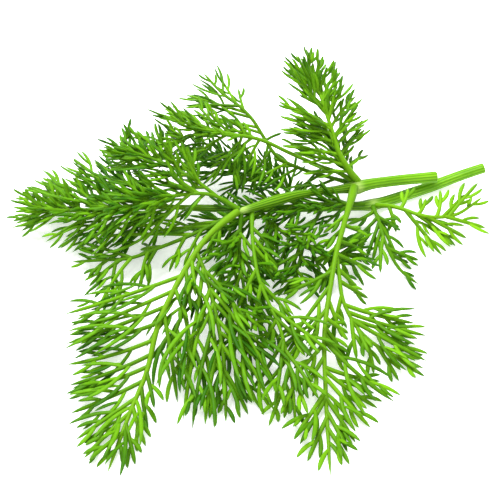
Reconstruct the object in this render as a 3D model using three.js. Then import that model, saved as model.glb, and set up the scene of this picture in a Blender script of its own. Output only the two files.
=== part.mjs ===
// A bunch of dill lying on a table: two cut stems, and the feathery leaves (fronds) that leave them.
// A frond is a leaf stalk with leaflets on both sides, and each leaflet divides into fine pointed threads.
// Lengths are in millimetres, Z is up and the table is at z = 0.
import * as THREE from 'three';

// ---------------------------------------------------------------- driving dimensions

const middleX = 1.95;              // the middle of the bunch's box, seen from above
const middleY = -9.7;

const threadRadius = 0.6;         // to the corners of a three-sided thread
const leafletRadius = 0.7;        // to the corners of a three-sided leaflet stalk
const pairSpacing = 9;            // of the pairs of threads along a stalk
const bareShare = 0.14;           // of a leaflet, before its first pair
const forkedShare = 0.64;         // and the share of it that bears pairs
const rootLength = 1.8;           // of the root of a thread, along its leaflet
const leafyBand = 3;              // of the root of a leaflet, along its leaf stalk
const bareBand = 8;               // of one straight length of a bare leaf stalk
const shortLeaflet = 9;           // and shorter leaflets have no threads
const threadLongest = 22;
const endThreadLongest = 17;      // at the end of a leaf stalk
const threadShortest = 5.5;
const threadShare = 0.58;         // of its leaflet's length
const threadAngle = 48;           // degrees from its leaflet, for a thread at the root of the leaflet
const threadTipAngle = 34;        // and for a thread at its tip
const threadBow = 0.12;           // of that angle is left where the thread ends
const threadStagger = 1.4;        // along the stalk, from the middle of a pair to each of its threads
const leafletBow = 14;            // degrees at most that a leaflet starts out narrower than its tip lies
const straightAngle = 30;         // degrees from the stalk of a straight leaflet
const bowShare = 0.35;            // of what a leaflet spreads over that, it starts out narrower

const uprightSpacing = 10;        // of the short leaflets that rise between the listed ones
const uprightLength = 13;
const uprightEnd = 0.85;          // of a leaf stalk, past which there are none
const uprightAngle = 30;          // degrees from the leaf stalk, on the average
const uprightLift = 4.5;          // of its tip over its root, on the average

const gapBetweenFronds = 0.6;
const gapWithinFrond = 0.15;
const leafletRoot = 4;            // the part of a leaflet, and of a thread, that may be close to its own frond
const threadRoot = 3;
const axisRoot = 3;

// The stems: points on the middle line, each with the radius there.
const upperStem = [
  [80, 40.6, 8.6, 2.5], [72, 39.2, 9, 2.45], [64, 37.5, 9.7, 2.4], [53, 34.4, 11, 2.4], [48, 32.5, 11.6, 2.7],
  [44.5, 31, 12, 3.1], [41, 29.8, 12.7, 2.3], [35, 27.5, 14, 1.7], [25, 24, 16, 1.6], [18, 21, 17.4, 2.0],
  [10, 16.5, 19, 2.3], [3, 12.4, 20.4, 1.8], [-3, 9, 21.4, 1.3], [-4.6, 8.1, 21.7, 0.95],
];
const lowerStem = [
  [101.8, 46.7, 8, 2.3], [94, 45.2, 5.8, 2.35], [86, 43.4, 3.5, 2.4], [79, 41, 2.27, 2.45],
  [63, 34, 2.27, 2.45],
  [56, 31, 2.6, 2.45], [52, 29.4, 3, 2.7], [48, 28.1, 3.8, 2.2], [42, 26.4, 5, 1.8], [29, 23.8, 7, 1.6],
  [12.5, 21.4, 9, 1.5], [-4, 20.5, 10, 1.4], [-16, 20.1, 10.8, 1.6], [-20, 20, 11, 1.5],
];

// The fronds. Each axis is a leaf stalk: the points it passes through, the radius at its root, and its
// leaflets, each as [share of the way along, length, degrees to the left (+) or right (-) of the stalk, height
// of its tip] and, if it is barer than most, its pairs of threads. A second axis leaves the first at a share of
// its length. An open frond has no short upright leaflets in between.
const fronds = [
  {
    name: 'frond_left',
    axes: [{
      radius: 1.05,
      route: [[-20.7, 20, 11.1], [-37, 17, 15], [-53, 15, 16], [-69, 16, 14], [-84, 20, 10], [-98, 26, 5]],
      leaflets: [
        [0.13, 35, 25, 3], [0.16, 44, -50, 14], [0.23, 33, 25, 3], [0.25, 49, -50, 13], [0.32, 32, 10, 3],
        [0.34, 36, -50, 12], [0.42, 29, 20, 2], [0.44, 32, -40, 10], [0.50, 27, 5, 2], [0.52, 36, -40, 9],
        [0.58, 26, -5, 3], [0.60, 32, -30, 8], [0.69, 22, 15, 3], [0.70, 24, -25, 7], [0.78, 18, 5, 3],
        [0.79, 19, -15, 5],
      ],
    }],
  },
  {
    name: 'frond_low_left',
    open: true,
    axes: [
      {
        radius: 1.2,
        route: [
          [-6, 6.8, 22], [-14, -2, 22], [-21, -12, 20], [-29, -28, 16], [-34, -41, 12], [-37, -56, 7],
          [-42, -71, 4], [-48, -92, 1],
        ],
        leaflets: [
          [0.24, 16, 28, 17, 2], [0.28, 18, 36, 14, 2], [0.31, 48, -54, 4], [0.36, 14, 40, 14],
          [0.37, 44, -50, 3], [0.43, 41, -55, 2], [0.45, 34, 24, 2, 3], [0.49, 27, -65, 5],
          [0.49, 44, 10, 1, 2], [0.55, 34, -70, 2], [0.60, 32, -65, 1], [0.64, 29, -65, 1], [0.66, 12, 25, 2],
          [0.69, 28, -50, 1], [0.71, 17, 30, 1], [0.75, 25, -35, 1], [0.78, 15, 40, 1], [0.80, 22, -25, 1],
          [0.84, 15, 25, 1], [0.87, 12, -25, 1],
        ],
      },
      {
        radius: 0.85,
        leaves: 0.2,
        route: [
          [-20.5, -11, 20.2], [-17, -19, 17.5], [-14, -29, 14], [-11, -42, 10], [-9, -56, 5], [-8.5, -73, 1],
        ],
        leaflets: [
          [0.06, 44, -45, 2], [0.11, 47, -38, 2], [0.12, 30, 10, 8], [0.18, 14, 45, 14], [0.24, 50, -18, 1],
          [0.24, 43, 8, 2], [0.32, 38, 18, 1], [0.33, 14, -35, 12], [0.40, 42, -12, 1], [0.42, 40, 8, 1],
          [0.50, 13, 45, 9], [0.56, 30, -8, 1], [0.57, 27, 14, 1], [0.68, 20, -18, 1], [0.72, 18, 16, 1],
        ],
      },
    ],
  },
  {
    name: 'frond_side_left',
    open: true,
    axes: [{
      radius: 0.8,
      route: [
        [-6.5, 8.4, 20.4], [-13.5, 5, 18.4], [-24, 0.5, 16], [-36, -3.2, 13], [-47, -5.8, 10], [-59, -3.5, 6],
        [-72, -1.3, 2],
      ],
      leaflets: [
        [0.05, 15, 20, 12], [0.10, 14, -25, 14], [0.15, 24, -30, 12], [0.20, 16, 35, 9], [0.26, 37, -35, 6],
        [0.30, 15, 40, 7], [0.44, 13, -40, 6], [0.47, 18, 40, 1], [0.52, 14, 70, 2], [0.62, 25, 55, 1],
        [0.62, 25, -35, 4], [0.68, 17, 45, 2], [0.71, 19, 95, 1], [0.77, 10, 35, 2],
      ],
    }],
  },
  {
    name: 'frond_upper_left',
    axes: [
      {
        radius: 0.75,
        route: [[-5.9, 9.3, 23.3], [-14, 11, 28], [-23, 11, 29], [-35, 10, 27], [-47, 9, 24], [-60, 8, 19]],
        leaflets: [
          [0.23, 16, 25, 18], [0.30, 21, -30, 28], [0.33, 27, 30, 14], [0.47, 27, -35, 24],
          [0.50, 25, 15, 13], [0.64, 25, -35, 20], [0.68, 24, 20, 12], [0.83, 19, -30, 16],
          [0.85, 16, 10, 13],
        ],
      },
      {
        radius: 0.75,
        leaves: 0.14,
        route: [[-13, 11, 27.6], [-21, 16, 31], [-30, 22, 32], [-40, 29, 31], [-50, 35, 27], [-58, 44, 24]],
        leaflets: [
          [0.10, 18, 25, 26], [0.15, 16, -40, 36], [0.25, 25, 25, 24], [0.32, 20, -25, 38],
          [0.41, 27, 20, 24], [0.49, 14, -20, 34], [0.57, 22, 5, 26], [0.67, 14, -25, 30], [0.72, 14, -5, 27],
        ],
      },
    ],
  },
  {
    name: 'frond_arch',
    axes: [{
      radius: 0.8,
      route: [
        [41.6, 33, 15], [36, 33.8, 18.4], [28, 34, 22], [16, 34, 29], [5, 36, 34], [-6, 36, 37],
        [-18, 38, 37], [-30, 36, 33], [-45, 38, 26], [-55, 40, 20],
      ],
      leaflets: [
        [0.40, 22, 60, 18], [0.43, 26, 25, 20], [0.47, 22, 60, 18], [0.52, 27, 25, 22], [0.54, 19, -40, 40],
        [0.57, 26, -20, 36], [0.59, 26, -25, 38], [0.63, 18, -60, 40], [0.64, 26, 0, 20], [0.69, 10, -35, 34],
        [0.71, 30, 0, 18], [0.78, 15, -15, 30], [0.84, 20, 10, 18],
      ],
    }],
  },
  {
    name: 'frond_top',
    open: true,
    axes: [{
      radius: 0.8,
      route: [
        [42, 34.1, 11.6], [34, 35.4, 13.4], [22, 34.6, 19], [11.5, 35.5, 25], [5.5, 41.5, 31], [1, 47.5, 35],
        [-4.5, 53, 37.5], [-12, 60.5, 38.5], [-20, 75, 37],
      ],
      leaflets: [
        [0.07, 15, 35, 12], [0.15, 17, 30, 13], [0.22, 16, -25, 20], [0.27, 20, 40, 20.5], [0.33, 19, 30, 22],
        [0.43, 21, 100, 14], [0.48, 8, -95, 30], [0.52, 23, 30, 34], [0.55, 15, 35, 30], [0.61, 27, 20, 34],
        [0.64, 31, 26, 34], [0.66, 12, -35, 39], [0.69, 23, 40, 36], [0.71, 17, -25, 38],
      ],
    }],
  },
  {
    name: 'frond_top_right',
    axes: [{
      radius: 0.85,
      route: [
        [44.2, 32.7, 15.5], [41, 33, 20], [36.5, 36, 27], [34, 41, 33], [31, 47, 39], [29, 53, 42.5],
        [24.5, 63, 44.5], [19.5, 77, 45],
      ],
      leaflets: [
        [0.03, 13, -75, 20], [0.08, 18, 20, 22], [0.10, 13, -100, 18], [0.16, 21, 25, 26],
        [0.17, 17, -80, 24], [0.20, 20, -80, 26], [0.21, 24, 50, 30], [0.27, 18, -65, 30], [0.29, 22, 55, 34],
        [0.33, 18, -60, 33], [0.34, 22, 50, 38], [0.39, 22, -60, 36], [0.40, 24, 40, 41], [0.44, 20, -50, 42],
        [0.48, 23, 30, 54], [0.51, 14, -45, 44], [0.53, 22, 24, 50], [0.58, 15, -45, 46], [0.61, 18, 35, 57],
        [0.63, 11, -40, 50], [0.69, 12, -25, 47], [0.71, 12, 35, 46],
      ],
    }],
  },
  {
    name: 'frond_right',
    open: true,
    axes: [{
      radius: 0.85,
      route: [
        [54.4, 27.4, 4.7], [59, 24, 8], [64, 20, 10], [70, 16, 11], [77, 15, 11], [86, 18, 10], [98, 29, 8],
      ],
      leaflets: [
        [0.10, 12, -40, 3], [0.21, 10, 105, 13], [0.25, 24, -15, 2], [0.35, 21, 0, 2], [0.36, 9, 90, 12],
        [0.43, 19, -5, 4], [0.50, 14, 75, 13], [0.55, 16, 30, 12], [0.58, 18, -10, 5], [0.60, 22, 25, 11],
      ],
    }],
  },
  {
    name: 'frond_right_front',
    open: true,
    axes: [{
      radius: 0.8,
      route: [[52.1, 26.5, 4.3], [53, 16, 8], [54, 7, 8], [56, 1, 6], [60, -6, 3], [67, -12, 1]],
      leaflets: [
        [0.07, 13, -70, 3], [0.13, 11, 25, 3], [0.18, 10, 60, 5], [0.20, 15, -55, 2], [0.28, 17, -28, 1],
        [0.30, 16, 15, 1], [0.37, 14, -24, 1], [0.45, 15, -8, 1], [0.57, 14, 55, 2], [0.62, 10, 35, 2],
        [0.67, 9, 25, 1],
      ],
    }],
  },
  {
    name: 'frond_low_right',
    open: true,
    axes: [
      {
        radius: 1.05,
        route: [
          [43, 27.3, 14.4], [41.5, 21, 16], [39, 12, 17], [36, 1, 18], [33, -10, 17], [30, -25, 14],
          [28, -36, 12], [27, -46, 9], [27, -58, 5], [27, -71, 2], [27, -93, 1],
        ],
        leaflets: [
          [0.14, 12, -45, 12], [0.19, 11, 110, 12], [0.21, 12, -50, 10], [0.26, 14, 120, 9],
          [0.28, 13, -60, 8], [0.31, 19, 105, 6], [0.35, 14, -25, 8], [0.37, 22, -65, 7], [0.42, 32, -27, 4],
          [0.45, 26, -55, 4], [0.47, 15, 35, 5], [0.50, 24, -42, 3], [0.53, 11, 80, 6], [0.56, 14, 40, 4],
          [0.58, 14, 60, 3], [0.60, 32, 65, 2], [0.61, 15, -45, 3], [0.65, 17, -25, 2], [0.68, 21, 80, 2],
          [0.69, 23, 55, 1], [0.71, 24, 40, 1], [0.75, 20, -35, 1], [0.77, 19, 30, 1], [0.77, 20, -30, 1],
          [0.81, 16, 15, 1], [0.83, 18, -25, 1], [0.86, 14, 15, 1],
        ],
      },
      {
        radius: 0.8,
        leaves: 0.305,
        route: [
          [33.2, -8.4, 17.1], [34, -17, 14], [35, -27, 11], [39, -36, 8], [45, -42, 5], [54, -47, 3],
          [64, -51, 1],
        ],
        leaflets: [
          [0.12, 13, 70, 5], [0.20, 15, 80, 4], [0.30, 14, -10, 4], [0.36, 28, 62, 4], [0.41, 31, 55, 3],
          [0.38, 25, -10, 1], [0.46, 26, 50, 3], [0.46, 15, -15, 2], [0.47, 30, 45, 2], [0.53, 9, -15, 2],
          [0.60, 14, -40, 1], [0.69, 15, -30, 1], [0.74, 14, 15, 2], [0.81, 9, -10, 1],
        ],
      },
    ],
  },
  {
    name: 'frond_centre',
    open: true,
    axes: [{
      radius: 0.75,
      route: [
        [0.8, 9, 18.9], [1, -3, 18], [3, -19, 16], [7, -30, 13], [11, -40, 11], [13, -48, 8], [15, -58, 5],
        [16, -75, 1],
      ],
      leaflets: [
        [0.07, 14, 50, 14], [0.12, 16, 40, 12], [0.17, 16, 55, 9], [0.29, 17, -35, 6], [0.36, 21, 25, 8],
        [0.37, 18, -35, 4], [0.48, 27, 35, 5], [0.53, 19, 30, 3], [0.54, 11, -65, 4], [0.63, 24, -55, 1],
        [0.64, 23, -35, 1], [0.68, 20, 25, 1], [0.71, 14, -60, 1], [0.76, 24, -30, 1], [0.78, 14, 15, 1],
        [0.84, 9, -25, 1], [0.88, 9, 20, 1],
      ],
    }],
  },
  {
    name: 'frond_front',
    axes: [{
      radius: 0.7,
      route: [[-3.6, 7, 20], [-4, 0, 16], [-4, -9, 13], [-2, -23, 9], [-1, -37, 5], [1, -56, 1]],
      leaflets: [
        [0.08, 20, -50, 9], [0.10, 21, 45, 8], [0.15, 22, -25, 8], [0.21, 23, 20, 6], [0.24, 25, -15, 5],
        [0.32, 26, 15, 4], [0.34, 26, -15, 4], [0.44, 32, 15, 2], [0.47, 32, -14, 3], [0.58, 28, -16, 1],
        [0.63, 26, 8, 1],
      ],
    }],
  },
  {
    name: 'frond_inner',
    axes: [{
      radius: 0.75,
      route: [[4.2, 18.4, 10.4], [13, 7, 11], [20, 0, 11], [29, -3, 10], [38, -2, 8], [49, 0, 5]],
      leaflets: [
        [0.09, 16, -50, 6], [0.15, 17, -60, 5], [0.21, 15, -60, 4], [0.32, 12, 115, 12], [0.34, 19, -70, 3],
        [0.44, 19, -85, 2], [0.46, 13, 75, 12], [0.53, 16, -65, 2], [0.56, 17, 55, 9], [0.64, 15, -80, 2],
        [0.66, 18, 30, 7], [0.70, 11, -50, 2], [0.77, 11, -55, 2], [0.78, 13, 30, 5],
      ],
    }],
  },
  {
    name: 'frond_middle',
    axes: [{
      radius: 0.75,
      route: [[29.3, 21, 8.2], [26, 11, 12], [22, 2, 13.5], [20, -6, 11], [18, -11, 7], [16, -18, 2]],
      leaflets: [
        [0.17, 13, -40, 10], [0.33, 11, 105, 9], [0.45, 13, -65, 8], [0.53, 11, 105, 7], [0.61, 14, -65, 5],
        [0.67, 11, 85, 5], [0.74, 12, -50, 3], [0.78, 11, 75, 2], [0.85, 10, -20, 2],
      ],
    }],
  },
  {
    name: 'frond_between',
    axes: [{
      radius: 0.8,
      route: [
        [46.4, 25.8, 7.2], [36, 22, 11.5], [24, 20.5, 12.5], [11, 18, 13.5], [0, 14, 13], [-10, 9, 11],
        [-20, 4, 7],
      ],
      leaflets: [
        [0.06, 12, -20, 10], [0.09, 15, 20, 7], [0.13, 13, -30, 12], [0.20, 14, -35, 13], [0.22, 16, 20, 6],
        [0.28, 15, -30, 14], [0.35, 17, 20, 6], [0.38, 16, -35, 15], [0.47, 16, -40, 15], [0.48, 16, 25, 6],
        [0.57, 16, -35, 15], [0.61, 18, 20, 5], [0.66, 17, -40, 14], [0.68, 18, 25, 4], [0.75, 17, -35, 12],
        [0.77, 18, 20, 3], [0.84, 15, -30, 9], [0.88, 15, 20, 3],
      ],
    }],
  },
  {
    name: 'frond_back',
    axes: [{
      radius: 0.75,
      route: [[20.5, 25.3, 9.1], [14, 32, 11], [5, 37, 13], [-5, 41, 14], [-16, 46, 13], [-32, 55, 10]],
      leaflets: [
        [0.06, 10, -95, 12], [0.10, 16, -60, 12], [0.17, 16, 45, 10], [0.20, 12, -20, 15], [0.24, 22, 80, 6],
        [0.26, 16, -55, 14], [0.29, 15, -15, 16], [0.33, 18, 45, 10], [0.35, 24, 70, 6], [0.41, 17, -50, 15],
        [0.42, 20, 85, 6], [0.44, 13, -10, 17], [0.47, 20, 30, 9], [0.50, 22, 70, 7], [0.56, 18, -35, 14],
        [0.57, 18, 60, 8], [0.64, 20, 25, 8], [0.71, 16, -35, 12], [0.82, 19, 20, 7],
      ],
    }],
  },
];

// ---------------------------------------------------------------- lines

const up = new THREE.Vector3(0, 0, 1);
const radians = THREE.MathUtils.degToRad;

// A number from 0 to 1 that is always the same for the same two whole numbers.
function draw(key, place) {
  const wave = Math.sin(key * 12.9898 + place * 78.233) * 43758.5453;
  return wave - Math.floor(wave);
}

// A smooth line through the points of a route. Its at() gives the point and the growth at a share of it.
function routeLine(route) {
  const knots = route.map(([x, y, z]) => new THREE.Vector3(x, y, z));
  const curve = new THREE.CatmullRomCurve3(knots, false, 'catmullrom', 0.5);
  const points = curve.getPoints((knots.length - 1) * 10);
  const ways = points.slice(1).map((point, i) => point.distanceTo(points[i]));
  const length = ways.reduce((sum, way) => sum + way, 0);
  const at = (share) => {
    let left = share * length;
    let i = 0;
    while (i < ways.length - 1 && left > ways[i]) {
      left -= ways[i];
      i += 1;
    }
    const growth = points[i + 1].clone().sub(points[i]).normalize();
    return { point: points[i].clone().addScaledVector(growth, left), growth };
  };
  return { length, at };
}

// A bow from its start to its tip, drawn towards a control point.
function bowLine(start, control, tip) {
  const at = (share) => {
    const first = start.clone().lerp(control, share);
    const second = control.clone().lerp(tip, share);
    return { point: first.clone().lerp(second, share), growth: second.sub(first).normalize() };
  };
  return { length: start.distanceTo(at(0.5).point) + at(0.5).point.distanceTo(tip), at };
}

// The least distance between two straight lengths.
function distance(start1, end1, start2, end2) {
  const way1 = end1.clone().sub(start1);
  const way2 = end2.clone().sub(start2);
  const between = start1.clone().sub(start2);
  const a = way1.dot(way1);
  const b = way1.dot(way2);
  const c = way1.dot(between);
  const e = way2.dot(way2);
  const f = way2.dot(between);
  const spread = a * e - b * b;
  const guess = spread > 1e-9 ? THREE.MathUtils.clamp((b * f - c * e) / spread, 0, 1) : 0;
  const t = THREE.MathUtils.clamp((b * guess + f) / e, 0, 1);
  const s = THREE.MathUtils.clamp((b * t - c) / a, 0, 1);
  return between.addScaledVector(way1, s).addScaledVector(way2, -t).length();
}

// ---------------------------------------------------------------- keeping the stalks clear of each other

const placed = [];

// The line as straight lengths, to measure gaps with.
function lengthsOf(line, count) {
  const points = Array.from({ length: count + 1 }, (_, i) => line.at(i / count).point);
  return points.slice(1).map((end, i) => {
    const start = points[i];
    return { start, end, middle: start.clone().lerp(end, 0.5), reach: start.distanceTo(end) / 2 };
  });
}

function place(owner, lengths, radius) {
  lengths.forEach((length, i) => placed.push({ ...length, owner, radius: radius(i / lengths.length) }));
}

// Whether a line keeps its gap from all that is placed. Its root may lie close to its own frond.
function isClear(owner, lengths, radius, root) {
  return lengths.every(({ start, end, middle, reach }, i) => {
    const freeStart = i === 0 ? start.clone().lerp(end, Math.min(0.9, root / (2 * reach))) : start;
    return placed.every((other) => {
      const own = other.owner === owner;
      const gap = radius + other.radius + (own ? gapWithinFrond : gapBetweenFronds);
      if (middle.distanceTo(other.middle) > reach + other.reach + gap) return true;
      return distance(own ? freeStart : start, end, other.start, other.end) >= gap;
    });
  });
}

// The first clear line of all trials. A trial lifts the tip, which then leans to the front, and turns the line.
const lean = new THREE.Vector3(0, -0.84, 1);
const trials = [
  [0, 0], [1, 0], [-1, 0], [0, 8], [0, -8], [2, 0], [-2, 0], [1.5, 8], [1.5, -8], [-1.5, 8], [-1.5, -8],
  [3, 0], [-3, 0], [3, 12], [3, -12], [-3, 12], [-3, -12], [4.5, 0], [-4.5, 0], [6, 0], [6, 12], [6, -12],
  [-6, 0],
];

function firstClear(owner, radius, root, count, bend) {
  for (const [lift, turn] of trials) {
    const { start, control, tip } = bend(turn);
    control.addScaledVector(lean, lift * 0.4);
    tip.addScaledVector(lean, lift);
    control.z = Math.max(control.z, radius + 0.05);
    tip.z = Math.max(tip.z, radius + 0.05);
    const line = bowLine(start, control, tip);
    const lengths = lengthsOf(line, count);
    if (isClear(owner, lengths, radius, root)) {
      place(owner, lengths, () => radius);
      return line;
    }
  }
  return null;
}

// ---------------------------------------------------------------- leaflets and threads

// A stalk holds its line, its rings as [share of the line, radius], and its branches, each with its band.
function growLeaflet(owner, line, [share, length, degrees, tipHeight, fewer]) {
  const { point, growth } = line.at(share);
  const ahead = growth.clone().setZ(0).normalize();
  const left = new THREE.Vector3(-ahead.y, ahead.x, 0);
  const fall = tipHeight - point.z;
  const across = Math.sqrt(Math.max(length * length - fall * fall, 9));
  const bowed = THREE.MathUtils.clamp(bowShare * (Math.abs(degrees) - straightAngle), -leafletBow, leafletBow);
  const outward = (degreesOut, reach) => point.clone()
    .addScaledVector(ahead, Math.cos(radians(degreesOut)) * reach)
    .addScaledVector(left, Math.sin(radians(degreesOut)) * reach);
  const bend = (turn) => ({
    start: point,
    control: outward(degrees + turn - Math.sign(degrees) * bowed, across * 0.5).setZ(point.z + fall * 0.3),
    tip: outward(degrees + turn, across).setZ(tipHeight),
  });
  const bow = firstClear(owner, leafletRadius, leafletRoot, 4, bend);
  if (!bow) return null;
  const fitting = Math.max(1, Math.round((forkedShare * bow.length) / pairSpacing));
  const pairs = fewer ?? (bow.length < shortLeaflet ? 0 : fitting);
  const shares = Array.from({ length: pairs }, (_, i) => bareShare + (forkedShare * (i + 0.5)) / pairs);
  const half = rootLength / 2 / bow.length;
  const rings = shares.flatMap((at) => [[at - half, leafletRadius], [at + half, leafletRadius]]);
  if (!pairs) rings.push([0.5, leafletRadius]);
  return { line: bow, rings: [...rings, [1, 0]], forks: shares.map((at, i) => [at, 2 * i + 1]), branches: [] };
}

function growThread(owner, line, share, side, length, roll) {
  const { point, growth } = line.at(share);
  const flat = new THREE.Vector3().crossVectors(up, growth).normalize();
  const raised = new THREE.Vector3().crossVectors(growth, flat);
  const out = flat.multiplyScalar(side * Math.cos(roll)).addScaledVector(raised, Math.sin(roll));
  const outward = (degreesOut, reach) => point.clone()
    .addScaledVector(growth, Math.cos(radians(degreesOut)) * reach)
    .addScaledVector(out, Math.sin(radians(degreesOut)) * reach);
  const angle = THREE.MathUtils.lerp(threadAngle, threadTipAngle, share);
  const bend = (turn) => ({
    start: point,
    control: outward(angle + turn, length * 0.5),
    tip: outward((angle * (1 + threadBow)) / 2 + turn, length),
  });
  const bow = firstClear(owner, threadRadius, threadRoot, 2, bend);
  return bow && { line: bow, rings: [[0.52, threadRadius], [1, 0]], branches: [] };
}

// A pair of threads at each fork of a stalk, shorter towards its tip.
function growThreads(owner, stalk, key, mostLength) {
  const { line } = stalk;
  const longest = Math.min(mostLength, threadShare * line.length);
  stalk.forks.forEach(([share, band], i) => {
    for (const side of [-1, 1]) {
      const fitting = Math.min(longest, 0.9 * (1 - share) * line.length);
      const size = Math.max(threadShortest, fitting * (0.9 + 0.25 * draw(key + i, side + 2)));
      const roll = radians((draw(key + i, side + 6) - 0.4) * 50);
      const root = share + ((i % 2 ? side : -side) * threadStagger) / line.length;
      const thread = growThread(owner, line, root, side, size, roll);
      if (thread) stalk.branches.push({ ...thread, band });
    }
  });
}

// Short leaflets that rise between the listed ones, on either side by turns, each with one pair of threads.
function uprightRows({ line }, first, key) {
  const count = Math.max(0, Math.round(((uprightEnd - first) * line.length) / uprightSpacing));
  return Array.from({ length: count }, (_, i) => {
    const share = first + ((uprightEnd - first) * (i + 0.5)) / count;
    const length = uprightLength * (1.2 - 0.5 * share) * (0.85 + 0.3 * draw(key + i, 11));
    const degrees = (i % 2 ? 1 : -1) * uprightAngle * (0.5 + draw(key + i, 12));
    const lift = uprightLift * (0.6 + 0.8 * draw(key + i, 13)) * (1.2 - 0.6 * share);
    return [share, length, degrees, line.at(share).point.z + lift, 1];
  });
}

// A leaf stalk: long bands up to its first branch, then bands short enough for the roots of its leaflets.
function growAxis(owner, { route, radius, leaflets }, firstBranch) {
  const line = routeLine(route);
  const first = firstBranch - 1.5 / line.length;
  const bare = Math.ceil((first * line.length) / bareBand);
  const leafy = Math.ceil(((0.96 - first) * line.length) / leafyBand);
  const shares = [
    ...Array.from({ length: bare }, (_, i) => (first * i) / bare),
    ...Array.from({ length: leafy + 1 }, (_, i) => first + ((0.96 - first) * i) / leafy),
  ];
  const radiusAt = (share) => THREE.MathUtils.lerp(radius, leafletRadius, share * share);
  const rings = [...shares.map((share) => [share, radiusAt(share)]), [1, 0]];
  place(owner, lengthsOf(line, Math.round(line.length / 5)), radiusAt);
  const bandAt = (share) => shares.findIndex((ring) => ring > share);
  const pairs = Math.round((0.22 * line.length) / pairSpacing);
  const forks = Array.from({ length: pairs }, (_, i) => {
    const share = 0.73 + (0.22 * (i + 0.5)) / pairs;
    return [share, bandAt(share)];
  });
  return { line, rings, forks, branches: [], bandAt };
}

// ---------------------------------------------------------------- the skin

// A closed surface that grows: a branch takes one triangle of its parent's side as its root.
class Skin {
  corners = [];

  triangles = [];

  ring({ point, growth }, radius, sides, phase) {
    const flat = new THREE.Vector3().crossVectors(up, growth).normalize();
    const raised = new THREE.Vector3().crossVectors(growth, flat);
    return Array.from({ length: radius > 0 ? sides : 1 }, (_, k) => {
      const angle = phase + (2 * Math.PI * k) / sides;
      const corner = point.clone().addScaledVector(flat, Math.cos(angle) * radius)
        .addScaledVector(raised, Math.sin(angle) * radius);
      return this.corners.push(corner) - 1;
    });
  }

  band(from, to, openSides) {
    from.forEach((corner, k) => {
      const next = (k + 1) % from.length;
      if (!openSides.includes(k)) this.triangles.push(corner, from[next], to[to.length === 1 ? 0 : k]);
      if (to.length > 1) this.triangles.push(from[next], to[next], to[k]);
    });
  }

  cap(ring, isEnd) {
    for (let k = 1; k < ring.length - 1; k += 1) {
      this.triangles.push(ring[0], ring[isEnd ? k : k + 1], ring[isEnd ? k + 1 : k]);
    }
  }

  // The turn of a ring that best meets the corners it is joined to.
  phaseFor(base, { growth }) {
    const flat = new THREE.Vector3().crossVectors(up, growth).normalize();
    const raised = new THREE.Vector3().crossVectors(growth, flat);
    const middle = new THREE.Vector3();
    base.forEach((i) => middle.addScaledVector(this.corners[i], 1 / base.length));
    let x = 0;
    let y = 0;
    base.forEach((i, k) => {
      const way = this.corners[i].clone().sub(middle);
      const angle = Math.atan2(way.dot(raised), way.dot(flat)) - (2 * Math.PI * k) / base.length;
      x += Math.cos(angle);
      y += Math.sin(angle);
    });
    return Math.atan2(y, x);
  }

  // The free side of a band that faces a branch the most.
  sideFor(from, to, branch, taken) {
    const { point } = branch.line.at(branch.rings[0][0]);
    let best = -1;
    let most = -Infinity;
    from.forEach((corner, k) => {
      const a = this.corners[corner];
      const along = this.corners[from[(k + 1) % from.length]].clone().sub(a);
      const facing = this.corners[to[k]].clone().sub(a);
      const normal = along.cross(facing).normalize();
      const faces = point.clone().sub(a).dot(normal);
      if (faces > most && !taken.includes(k)) {
        most = faces;
        best = k;
      }
    });
    return most > 0.3 ? best : -1;
  }

  // The skin of a stalk and all its branches, from the corners it grows out of.
  grow({ line, rings, branches }, root, phase) {
    let from = root;
    rings.forEach(([share, radius], i) => {
      const to = this.ring(line.at(share), radius, root.length, phase);
      const sides = [];
      const here = branches.filter((branch) => branch.band === i).map((branch) => {
        const side = to.length > 1 ? this.sideFor(from, to, branch, sides) : -1;
        if (side >= 0) sides.push(side);
        return { branch, side };
      });
      this.band(from, to, sides);
      here.filter(({ side }) => side >= 0).forEach(({ branch, side }) => {
        const base = [from[side], from[(side + 1) % from.length], to[side]];
        this.grow(branch, base, this.phaseFor(base, branch.line.at(branch.rings[0][0])));
      });
      from = to;
    });
    if (from.length > 1) this.cap(from, true);
  }

  geometry() {
    const geometry = new THREE.BufferGeometry();
    const positions = this.corners.flatMap(({ x, y, z }) => [x - middleX, y - middleY, z]);
    geometry.setAttribute('position', new THREE.Float32BufferAttribute(positions, 3));
    geometry.setIndex(this.triangles);
    return geometry;
  }
}

function skinFrom(stalk, sides) {
  const skin = new Skin();
  const phase = Math.PI / sides;
  const [[share, radius], ...rings] = stalk.rings;
  const first = skin.ring(stalk.line.at(share), radius, sides, phase);
  skin.cap(first, false);
  const branches = stalk.branches.map((branch) => ({ ...branch, band: branch.band - 1 }));
  skin.grow({ ...stalk, rings, branches }, first, phase);
  return skin.geometry();
}

// ---------------------------------------------------------------- the bunch

const group = new THREE.Group();
group.name = 'dill_bunch';

const stemColour = new THREE.Color(0.33, 0.5, 0.06);
const leafColour = new THREE.Color(0.07, 0.25, 0.02);

function addNode(name, geometry, color) {
  const material = new THREE.MeshStandardMaterial({ color, roughness: 0.5, metalness: 0 });
  const mesh = new THREE.Mesh(geometry, material);
  mesh.name = name;
  group.add(mesh);
}

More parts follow.
